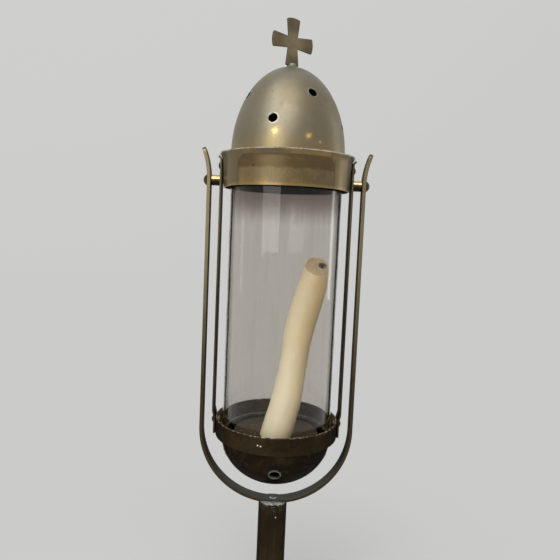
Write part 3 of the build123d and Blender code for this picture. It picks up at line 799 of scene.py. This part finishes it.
class LANTERN_OT_yoke(LanternOperator, bpy.types.Operator):
    """Finishes the yoke and its rivet: khaki where hands held it, slate and dark on the bend, with
    a painted sheen on the bend's upward faces and a painted highlight on the rivet's rim
    """

    bl_idname = "lantern.yoke"
    bl_label = "Yoke"

    def work(self, tones, sizes, studio):
        yoke = aged_brass(
            "yoke_brass", tones.old_black, tones.old_brown, tones.soot, 30, 0.25, 0.42
        )
        wander = yoke.noise(26, detail=3)
        narrow = abs(yoke.face_y).rise(0.55, 0.85)
        yoke.lay(narrow * 0.8, tones.cross_dark, 0.42)
        handled = (yoke.z + wander * 70).rise(PIVOT - 170, PIVOT - 10)
        yoke.lay(handled * narrow * 0.9, tones.khaki, 0.4)
        outer = abs(yoke.x).rise(reach("yoke_bar") - 9.6, reach("yoke_bar") - 8.6)
        yoke.lay(handled * (1 - narrow) * outer * 0.6, tones.khaki, 0.42)
        tip = yoke.z.rise(PIVOT + 6, YOKE_TIP - 8)
        yoke.lay(tip * (1 - narrow) * 0.7, tones.slate, 0.36)
        bend = yoke.z.rise(YOKE_FOOT + 66, YOKE_FOOT + 14)
        # Lighter slate on the upward faces of the bend: a painted sheen of light from above
        top = yoke.face_z.rise(0.1, 0.5) * bend
        yoke.lay(top * 0.9, tones.slate, 0.36, 0.7)
        yoke.lay(yoke.edge(0.9) * bend * 0.85, tones.old_black, 0.5)
        worn = handled * 0.5
        yoke.rub(worn, tones.rubbed, 0.32, 0.95, width=0.6, pitch=6, low=0.42, high=0.6, detail=5)
        draw = yoke.noise(0.7, detail=3, at=yoke.stretched(1, 1, 0.06))
        yoke.lay(draw.rise(0.58, 0.74) * narrow * 0.14, tones.khaki, 0.36)
        yoke.bump(draw, 0.012)
        yoke.bump(yoke.noise(7, detail=2), 0.06)
        coat(yoke.done_dark(tones), "yoke_bar")

        rivet = aged_brass(
            "rivet_brass", tones.slate, tones.cross_dark, tones.old_black, 5, 0.25, 0.34
        )
        # A pale crescent on the front rim of the rivet head: a painted highlight
        rim = (rivet.x * rivet.x + rivet.y * rivet.y) ** 0.5
        rivet.lay(rim.rise(1.9, 2.6) * rivet.y.rise(0.4, -1.0), tones.braze_pale, 0.3, 0.1)
        coat(rivet.done(), "yoke_rivet")


class LANTERN_OT_socket(LanternOperator, bpy.types.Operator):
    """Finishes the pole socket and its plug, and makes the brazing at the top"""

    bl_idname = "lantern.socket"
    bl_label = "Pole socket"

    def work(self, tones, sizes, studio):
        socket = aged_brass(
            "socket_brass", tones.old_brown, tones.old_dark, tones.old_black, 46, 0.2, 0.38
        )
        runs = socket.noise(5, detail=3, at=socket.stretched(1, 1, 0.06))
        socket.lay(runs.rise(0.52, 0.72) * 0.12, tones.collar_shade, 0.34)
        socket.bump(runs, 0.012)
        socket.rub(0.7, tones.rubbed, 0.28, 0.95, width=0.8, pitch=4, low=0.35, high=0.55)
        heat = socket.z.rise(SOCKET_TOP - 10, SOCKET_TOP - 1)
        socket.lay(heat * socket.noise(5).rise(0.45, 0.65) * 0.4, tones.slate, 0.4)
        dot = socket.distance(3.4, -13.8, SOCKET_TOP - 12).rise(0.9, 0.4)
        socket.lay(dot, tones.pale_edge_and_highlight, 0.4, 0.2)
        seam = abs(socket.x + 3).rise(0.5, 0.15) * socket.y.rise(-10, -12)
        socket.lay(seam * runs.rise(0.3, 0.5) * 0.6, tones.soot, 0.6)
        coat(socket.done_dark(tones), "pole_socket", "socket_plug")

        braze = aged_brass(
            "braze_pale", tones.braze_pale, tones.solder_grey, tones.verdigris, 6, 0.12, 0.24
        )
        braze.lay(braze.noise(3, detail=3).rise(0.58, 0.7) * 0.4, tones.cross_dark, 0.5)
        # The brazing's front is made non-metal so that its pale colour shows bright: a painted
        # highlight in place of its reflection
        braze.lay(braze.y.rise(-6, -9) * 0.9, metallic=0.1)
        run = whole_copy("braze_fillets", "braze_run")
        lumpy(run, 0.3 * MM, sizes.solder_pitch * 0.8, sizes.solder_lump)
        place(run, "yoke", "braze", braze.done(), "braze_fillets")


class LANTERN_OT_straps(LanternOperator, bpy.types.Operator):
    """Makes the two side straps with filed edges, in dark brown patina"""

    bl_idname = "lantern.straps"
    bl_label = "Side straps"

    def work(self, tones, sizes, studio):
        strap = aged_brass(
            "strap_brass", tones.old_black, tones.old_brown, tones.soot, 26, 0.3, 0.42
        )
        narrow = abs(strap.face_y).rise(0.55, 0.85)
        worn = strap.noise(16, detail=4, at=strap.stretched(1, 1, 0.4))
        strap.lay(narrow * 0.5, tones.cross_dark, 0.44)
        high = (strap.z + worn * 50).rise(PIVOT - 110, PIVOT + 10)
        strap.lay(narrow * high * 0.4, tones.khaki, 0.4)
        strap.lay((1 - narrow) * strap.z.rise(PIVOT - 16, PIVOT + 4) * 0.5, tones.collar_shade)
        strap.rub(0.35, tones.khaki, 0.34, 0.9, width=0.6, pitch=5, low=0.44, high=0.6)
        draw = strap.noise(0.7, detail=3, at=strap.stretched(1, 1, 0.05))
        strap.lay(draw.rise(0.58, 0.72) * narrow * 0.15, tones.khaki, 0.36)
        strap.bump(draw, 0.012)
        strap.bump(strap.noise(8, detail=2), 0.06)
        material = strap.done_dark(tones)
        for side in ("right", "left"):
            piece = whole_copy(f"side_strap_{side}", f"filed_strap_{side}")
            filed(piece, sizes.edge_round)
            place(piece, "lantern", "strap_brass", material, f"side_strap_{side}")


class LANTERN_OT_fastenings(LanternOperator, bpy.types.Operator):
    """Finishes the pivot pins, bushes, nuts and screws"""

    bl_idname = "lantern.fastenings"
    bl_label = "Pivots and screws"

    def work(self, tones, sizes, studio):
        pin = aged_brass(
            "pin_brass", tones.collar_shade, tones.old_brown, tones.old_black, 6, 0.35, 0.3
        )
        crown = (abs(pin.x) - reach("yoke_bar")).rise(1.5, 3.6)
        pin.lay(crown * pin.noise(2.5, detail=3).rise(0.4, 0.6) * 0.6, tones.rubbed, 0.26, 0.95)
        pin.bump(pin.noise(1.5, detail=2), 0.05)
        coat(pin.done(), "pivot_pin_right", "pivot_pin_left", "pivot_nuts")

        bush = aged_brass(
            "bush_brass", tones.collar_shade, tones.old_brown, tones.old_brown, 6, 0.2, 0.34
        )
        # A polished bright band along the top of each bush, with pale specks: a painted highlight
        reflection_band = (bush.z - PIVOT + bush.noise(4, detail=2)).rise(0.9, 2.1)
        bush.lay(reflection_band * 0.9, tones.rubbed, 0.18, 0.95)
        bush.lay(reflection_band * bush.noise(2, detail=3).rise(0.5, 0.62) * 0.5, tones.wax_ivory, 0.2)
        # The lower half of each bush darkened: painted shade
        bush.lay((bush.z - PIVOT).rise(-0.4, -2.2) * 0.85, tones.old_black, 0.45)
        bush.bump(bush.noise(0.5, detail=2, at=bush.stretched(1, 0.1, 0.1)), 0.006)
        coat(bush.done(), "pivot_bush_right", "pivot_bush_left")

        screw = aged_brass(
            "screw_brass", tones.collar_shade, tones.old_brown, tones.old_black, 4, 0.4, 0.34
        )
        proud = abs(screw.x).rise(reach("strap_screws_top") - 1.6, reach("strap_screws_top"))
        screw.lay(proud * screw.noise(2, detail=3).rise(0.4, 0.6) * 0.5, tones.khaki, 0.28, 0.95)
        screw.rub(0.5, tones.khaki, 0.3, 0.95, width=0.5, pitch=2.5, low=0.4, high=0.6)
        screw.bump(screw.noise(1.5, detail=2), 0.05)
        ends = "screws_top", "nuts_top", "screws_bottom", "nuts_bottom"
        coat(screw.done(), *(f"strap_{end}" for end in ends))


class LANTERN_OT_cross(LanternOperator, bpy.types.Operator):
    """Makes the cross with filed edges and the solder heaped at its foot, turned with the lid"""

    bl_idname = "lantern.cross"
    bl_label = "Cross"

    def work(self, tones, sizes, studio):
        cross = aged_brass(
            "cross_brass", tones.cross_brown, tones.dome_warm, tones.cross_dark, 16, 0.25, 0.42
        )
        low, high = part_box("finial_cross")
        middle = (low.z + high.z) / 2 / MM
        away = cross.distance(0, 0, middle) + cross.noise(7, detail=3) * 6
        cross.lay(away.rise(9, 19) * 0.55, tones.cross_dark, 0.46)
        turn = sizes.lid_turn * sizes.cross_share
        facing = turn + CROSS_TURN
        flat = abs(cross.face_x * sin(facing) - cross.face_y * cos(facing))
        cross.lay(flat.rise(0.6, 0.3), tones.old_black, 0.55)
        cross.lay(cross.edge(0.9) * 0.7, tones.old_brown, 0.5)
        brushed = cross.noise(0.6, detail=3, at=cross.stretched(1, 1, 0.14))
        cross.lay(brushed.rise(0.55, 0.7) * 0.16, tones.khaki, 0.36)
        cross.bump(brushed, 0.012)
        plate = whole_copy("finial_cross", "filed_cross")
        filed(plate, sizes.edge_round)
        turned(plate, turn)
        place(plate, "lid", "cross_brass", cross.done(), "finial_cross")

        solder = aged_brass(
            "solder_grey", tones.solder_grey, tones.dome_grey, tones.verdigris, 3, 0.3, 0.5
        )
        solder.lay(solder.noise(2.2, detail=3).rise(0.54, 0.7) * 0.4, tones.cross_dark, 0.6)
        heap = whole_copy("finial_solder", "cross_solder")
        spread(heap, sizes.solder_spread)
        lumpy(heap, 0.3 * MM, sizes.solder_pitch * 0.7, sizes.solder_lump)
        turned(heap, sizes.lid_turn)
        place(heap, "lid", "solder", solder.done(), "finial_solder")


class LANTERN_OT_candle(LanternOperator, bpy.types.Operator):
    """Draws up the bent candle ring by ring, cuts it aslant and sinks its burnt pit"""

    bl_idname = "lantern.candle"
    bl_label = "Candle"

    # Height above the plate, then the ring's middle and its two half widths, in millimetres
    rings = (
        (-22.0, -5.0, -12.6, 16.2, 16.2),
        (-7.0, -1.6, -11.6, 16.2, 16.2),
        (14.0, 3.6, -9.4, 15.9, 15.9),
        (32.0, 8.3, -7.4, 15.5, 15.5),
        (60.0, 13.3, -5.0, 14.0, 14.0),
        (82.0, 15.5, -4.4, 13.8, 14.2),
        (102.0, 18.2, -5.2, 14.8, 14.6),
        (122.0, 22.5, -7.6, 15.4, 15.2),
        (142.0, 27.6, -12.0, 15.0, 14.8),
        (160.0, 30.4, -17.1, 12.4, 12.8),
        (182.0, 33.2, -24.4, 9.4, 10.0),
    )
    cut_middle = (30.5, -19.6, 168.0)
    cut_normal = (0.12, -0.62, 0.77)
    pit_shift = 6.0
    # The wick's steps: up, across and how much it thins
    wick_steps = (1.6, 0.0, 0.95), (1.4, 0.3, 0.9), (1.2, 0.7, 0.85), (0.7, 0.8, 0.5)

    def work(self, tones, sizes, studio):
        wax = self.stick(sizes)
        place(wax, "lantern", "wax", self.wax_finish(tones), "candle")
        wick = self.burnt_wick(sizes)
        place(wick, "lantern", "wick_cotton", self.char_finish(tones), "wick")

    def cut(self):
        """The middles of the cut top and of its pit, in millimetres, and the cut's normal."""
        normal = Vector(self.cut_normal).normalized()
        across = (Vector((1, 0, 0)) - normal * normal.x).normalized()
        x, y, height = self.cut_middle
        top = Vector((x, y, PLATE_TOP + height))
        return top, top + across * self.pit_shift, normal

    def stick(self, sizes):
        """The candle as one closed mesh."""
        height, x, y, wide, deep = self.rings[0]
        foot = Vector((x, y, PLATE_TOP + height)) * MM
        wax = disc("bent_candle", sizes.candle_sides, wide * MM, foot)
        edit(wax)
        bpy.ops.mesh.select_mode(type="FACE")
        bpy.ops.mesh.select_all(action="SELECT")
        for before, after in zip(self.rings, self.rings[1:]):
            move = [(b - a) * MM for a, b in zip(before[:3], after[:3])]
            move = move[1], move[2], move[0]
            bpy.ops.mesh.extrude_region_move(TRANSFORM_OT_translate={"value": move})
            height, x, y, wide, deep = after
            middle = Vector((x, y, PLATE_TOP + height)) * MM
            scale = wide / before[3], deep / before[4], 1
            bpy.ops.transform.resize(value=scale, center_override=middle)
        bpy.ops.object.mode_set(mode="OBJECT")
        modify(wax, "SUBSURF", levels=3, render_levels=3)
        edit(wax)
        foot = (0, 0, PLATE_TOP * MM)
        bpy.ops.mesh.bisect(plane_co=foot, plane_no=(0, 0, 1), clear_inner=True, use_fill=True)
        top, pit, normal = self.cut()
        bpy.ops.mesh.select_all(action="SELECT")
        bpy.ops.mesh.bisect(plane_co=top * MM, plane_no=normal, clear_outer=True, use_fill=True)
        bpy.ops.object.mode_set(mode="OBJECT")
        self.work_top(wax)
        wavy(wax, 16 * MM, sizes.wax_wave)
        bpy.ops.object.shade_smooth_by_angle(angle=radians(40))
        return wax

    def work_top(self, wax):
        """Softens the cut's edge, dishes its face and sinks the burnt pit."""
        choose(wax)
        top, pit, normal = self.cut()
        for face in wax.data.polygons:
            face.select = face.normal.dot(normal) > 0.995 and face.center.z > 0.9 * top.z * MM
        for line in wax.data.edges:
            line.select = False
        bpy.ops.object.mode_set(mode="EDIT")
        bpy.ops.mesh.inset(thickness=0.9 * MM, depth=0)
        bpy.ops.transform.translate(value=normal * 0.5 * MM)
        bpy.ops.mesh.inset(thickness=1.4 * MM, depth=0)
        bpy.ops.transform.translate(value=normal * -0.5 * MM)
        bpy.ops.mesh.inset(thickness=3.4 * MM, depth=0)
        bpy.ops.transform.translate(value=((pit - top) * 0.85 - normal * 0.3) * MM)
        bpy.ops.transform.resize(value=(0.7,) * 3, center_override=pit * MM)
        bpy.ops.mesh.extrude_region_move(TRANSFORM_OT_translate={"value": normal * -2.4 * MM})
        deep = (pit - normal * 2.6) * MM
        bpy.ops.transform.resize(value=(0.6,) * 3, center_override=deep)
        bpy.ops.object.mode_set(mode="OBJECT")

    def wax_finish(self, tones):
        """Ivory wax, honey-coloured higher up and in painted shade on its right side, with a dusty
        cut and a burnt pit.
        """
        wax = Finish("candle_wax", tones.wax_ivory, roughness=0.4)
        higher_up = (wax.z + wax.noise(24, detail=2) * 50).rise(PLATE_TOP + 10, PLATE_TOP + 200)
        # Honey on the right-facing side is painted shade, for light that comes from the left
        side = (wax.face_x * 0.8 + wax.noise(14, detail=2) * 0.5).rise(-0.1, 0.9)
        wax.lay(higher_up * 0.4 + side * 0.3, tones.wax_honey_and_shade, 0.44)
        wax.lay(higher_up * side * 0.75, tones.wax_honey_and_shade, 0.44)
        veins = wax.noise(5, detail=5, roughness=0.6, at=wax.stretched(1, 1, 0.3))
        wax.lay(veins.rise(0.54, 0.74) * 0.14, tones.wax_honey_and_shade)
        dirt = wax.noise(2.5, detail=6, roughness=0.75).rise(0.6, 0.76)
        wax.lay(dirt * 0.16, tones.wax_cut, 0.6)
        specks = wax.cells(7).rise(0.075, 0.04) * wax.noise(30, detail=0).rise(0.42, 0.52)
        wax.lay(specks * 0.8, tones.cross_dark, 0.6)
        top, pit, normal = self.cut()
        above = wax.x * normal.x + wax.y * normal.y + wax.z * normal.z - top.dot(normal)
        cut = above.rise(-1.6, -0.7) * wax.z.rise(PLATE_TOP + 140, PLATE_TOP + 146)
        wax.lay(cut * (0.75 + 0.25 * veins.rise(0.4, 0.6)), tones.wax_cut, 0.7)
        wax.lay(wax.distance(*pit).rise(5.0, 2.4) * 0.92, tones.char, 0.8)
        wax.bump(veins, 0.08)
        wax.bump(wax.noise(1.1, detail=4), 0.025)
        return wax.done(
            **{
                "Subsurface Weight": 0.25,
                "Subsurface Radius": (1.0, 0.6, 0.3),
                "Subsurface Scale": 0.003,
            }
        )

    def char_finish(self, tones):
        """Burnt cotton."""
        char = Finish("wick_char", tones.char, roughness=0.85)
        ash = char.noise(0.5, detail=4)
        char.lay(ash.rise(0.58, 0.72) * 0.3, tones.cross_dark, 0.9)
        char.bump(ash, 0.15)
        return char.done()

    def burnt_wick(self, sizes):
        """The wick, bent over and thinned towards its burnt end."""
        top, pit, normal = self.cut()
        across = (pit - top).normalized()
        foot = (pit - normal * 3.6) * MM
        turn = normal.to_track_quat("Z", "Y").to_euler()
        wick = disc("burnt_wick", 10, sizes.wick_radius, foot, turn)
        edit(wick)
        here = foot.copy()
        for rise, lean, scale in self.wick_steps:
            step = (normal * rise + across * lean) * MM
            here += step
            bpy.ops.mesh.extrude_region_move(TRANSFORM_OT_translate={"value": step})
            bpy.ops.transform.resize(value=(scale,) * 3, center_override=here)
        bpy.ops.mesh.select_all(action="SELECT")
        bpy.ops.mesh.normals_make_consistent(inside=False)
        bpy.ops.object.mode_set(mode="OBJECT")
        modify(wick, "SUBSURF", levels=2, render_levels=2)
        bpy.ops.object.shade_smooth()
        return wick


class LANTERN_OT_glass(LanternOperator, bpy.types.Operator):
    """Finishes the glass: clear, with smears, dust at its foot, smoke and painted shade under the
    collar, and painted light where it is seen edge on
    """

    bl_idname = "lantern.glass"
    bl_label = "Glass"

    def work(self, tones, sizes, studio):
        glass = Finish("glass", tones.glass_clear, roughness=0.03)
        smear = glass.noise(5, detail=4, at=glass.stretched(1, 1, 0.06))
        # Darker under the collar: smoke, and painted shade under the collar
        smoke = (glass.z + smear * 16).rise(COLLAR_FOOT - 28, COLLAR_FOOT + 4)
        glass.lay(smoke * 0.9, tones.glass_smoke_and_shade, 0.06)
        glass.lay(smear.rise(0.5, 0.7) * 0.1, tones.glass_smoke_and_shade, 0.07)
        dust = (glass.z + smear * 8).rise(CUP_RIM + 14, CUP_RIM - 6)
        glass.lay(dust * 0.25, tones.glass_smoke_and_shade, 0.1)
        ground = glass.z.rise(GLASS_FOOT + 1.5, GLASS_FOOT + 0.8)
        glass.lay(ground * 0.8, tones.glass_clear, 0.5)
        spots = glass.cells(9).rise(0.09, 0.05) * glass.noise(30, detail=0).rise(0.5, 0.58)
        glass.lay(spots * 0.3, tones.glass_smoke_and_shade, 0.16)
        # Lighter where seen edge on: painted light that lifts the edges which the dimmed
        # reflections leave dark
        aslant = glass.node("LayerWeight", {}, {"Blend": 0.5}, ("Facing",))
        glass.lay(aslant.rise(0.55, 0.9), tones.glass_edge)
        glass.bump(glass.noise(26, detail=1), 0.12)
        dim = {"Specular Tint": (0.55, 0.55, 0.55)}
        clear = glass.bake_shader(**{"Transmission Weight": 1.0, "IOR": 1.5, **dim})
        through = glass.node("BsdfTransparent", {}, {"Color": tuple(tones.glass_edge)})
        both = glass.node("MixShader", {}, {0: glass.rays("Shadow"), 1: clear, 2: through})
        coat(glass.done(both), "glass_chimney")


class LANTERN_OT_studio(LanternOperator, bpy.types.Operator):
    """Sets up the floor, the pale surroundings, the soft lamps and the camera"""

    bl_idname = "lantern.studio"
    bl_label = "Studio"

    # Each lamp's place, and its width and height, in metres
    lamps = {
        "key": ((-0.45, -1.15, 2.1), 1.9, 1.9),
        "fill": ((-1.0, -1.8, 0.95), 1.4, 1.4),
        "edge": ((1.9, 0.75, 0.8), 0.3, 1.5),
    }
    lamp_aim = Vector((0, 0, 0.34))
    # Where the world is brightest, and its strength away from there and there
    bright_side = -0.3, 0.5, 0.6
    light_range = {"From Min": -0.8, "From Max": 0.9, "To Min": 0.72, "To Max": 1.05}
    mirrored = 0.85  # the least strength that reflections show

    def work(self, tones, sizes, studio):
        self.floor(studio)
        self.surroundings(studio)
        for name, (place, wide, tall) in self.lamps.items():
            self.lamp(name, Vector(place), wide, tall, getattr(studio, name + "_power"))
        bpy.ops.object.camera_add(location=studio.camera_place, rotation=studio.camera_turn)
        camera = bpy.context.object
        camera.name = "camera"
        camera.data.sensor_width = 36
        camera.data.lens = studio.lens
        camera.data.clip_start = 0.01
        bpy.context.scene.camera = camera
        bpy.context.scene.view_settings.view_transform = "Standard"

    def floor(self, studio):
        """A pale floor: evenly lit far off, and shaded by the lamps and the lantern near it."""
        floor = disc("studio_floor", 96, 4, (0, 0, -0.5 * MM))
        paint = Finish("studio_floor", tuple(studio.backdrop), roughness=0.8)
        fleck = paint.noise(12, detail=3)
        paint.lay(fleck.rise(0.4, 0.7) * 0.05, tone(215, 215, 214))
        solid = paint.bake_shader()
        camera, glossy, through = paint.rays("Camera", "Glossy", "Transmission")
        plain = paint.node("Emission", {}, {"Color": tuple(studio.backdrop), "Strength": 1.0})
        seen = camera.most(glossy).most(through)
        far = 0.35 + paint.radius().rise(40, 420) * 0.65
        both = paint.node("MixShader", {}, {0: seen * far, 1: solid, 2: plain})
        floor.data.materials.append(paint.done(both))

    def surroundings(self, studio):
        """A world that shows the pale backdrop and lights the front and right a little less."""
        world = bpy.data.worlds.new("studio")
        bpy.context.scene.world = world
        world.use_nodes = True
        sky = Nodes(world.node_tree)
        place = sky.node("TexCoord", outputs=("Generated",))
        inputs = {0: place, 1: self.bright_side}
        towards = sky.node("VectorMath", {"operation": "DOT_PRODUCT"}, inputs, ("Value",))
        inputs = {"Value": towards, **self.light_range}
        light = sky.node("MapRange", {"interpolation_type": "SMOOTHSTEP"}, inputs)
        camera, glossy, through = sky.rays("Camera", "Glossy", "Transmission")
        strength = light.most(camera + glossy * self.mirrored).most(through)
        inputs = {"Color": tuple(studio.backdrop), "Strength": strength}
        sky.node("OutputWorld", {}, {"Surface": sky.node("Background", {}, inputs)})

    def lamp(self, name, place, wide, tall, watts):
        """A soft lamp turned towards the lantern."""
        turn = (place - self.lamp_aim).to_track_quat("Z", "Y").to_euler()
        bpy.ops.object.light_add(type="AREA", location=place, rotation=turn)
        lamp = bpy.context.object
        lamp.name = name + "_light"
        lamp.data.shape = "RECTANGLE"
        lamp.data.size, lamp.data.size_y = wide, tall
        lamp.data.energy = watts
        lamp.visible_camera = False


PIECES = (
    LANTERN_OT_studio,
    LANTERN_OT_dome,
    LANTERN_OT_collar,
    LANTERN_OT_cup,
    LANTERN_OT_bowl,
    LANTERN_OT_plate,
    LANTERN_OT_yoke,
    LANTERN_OT_socket,
    LANTERN_OT_straps,
    LANTERN_OT_fastenings,
    LANTERN_OT_cross,
    LANTERN_OT_candle,
    LANTERN_OT_glass,
)


class LANTERN_PT_panel(bpy.types.Panel):
    """Lists the lantern's settings and the operators that use them"""

    bl_idname = "LANTERN_PT_panel"
    bl_label = "Processional Lantern"
    bl_space_type = "VIEW_3D"
    bl_region_type = "UI"
    bl_category = "Lantern"

    def draw(self, context):
        scene = context.scene
        for settings in (scene.lantern_sizes, scene.lantern_tones, scene.lantern_studio):
            box = self.layout.box()
            for name in settings.__annotations__:
                box.prop(settings, name)
        for piece in PIECES:
            self.layout.operator(piece.bl_idname)


SETTINGS = {
    "lantern_tones": LanternTones,
    "lantern_sizes": LanternSizes,
    "lantern_studio": LanternStudio,
}
CLASSES = (*SETTINGS.values(), *PIECES, LANTERN_PT_panel)


def register():
    """Registers the classes and hangs the settings on the scene."""
    for cls in CLASSES:
        bpy.utils.register_class(cls)
    for name, group in SETTINGS.items():
        setattr(bpy.types.Scene, name, PointerProperty(type=group))


def unregister():
    """Takes the settings and the classes away again."""
    for name in SETTINGS:
        delattr(bpy.types.Scene, name)
    for cls in reversed(CLASSES):
        bpy.utils.unregister_class(cls)


def main():
    """Makes the lantern."""
    register()
    for piece in PIECES:
        group, name = piece.bl_idname.split(".")
        getattr(getattr(bpy.ops, group), name)()


if __name__ == "__main__":
    main()
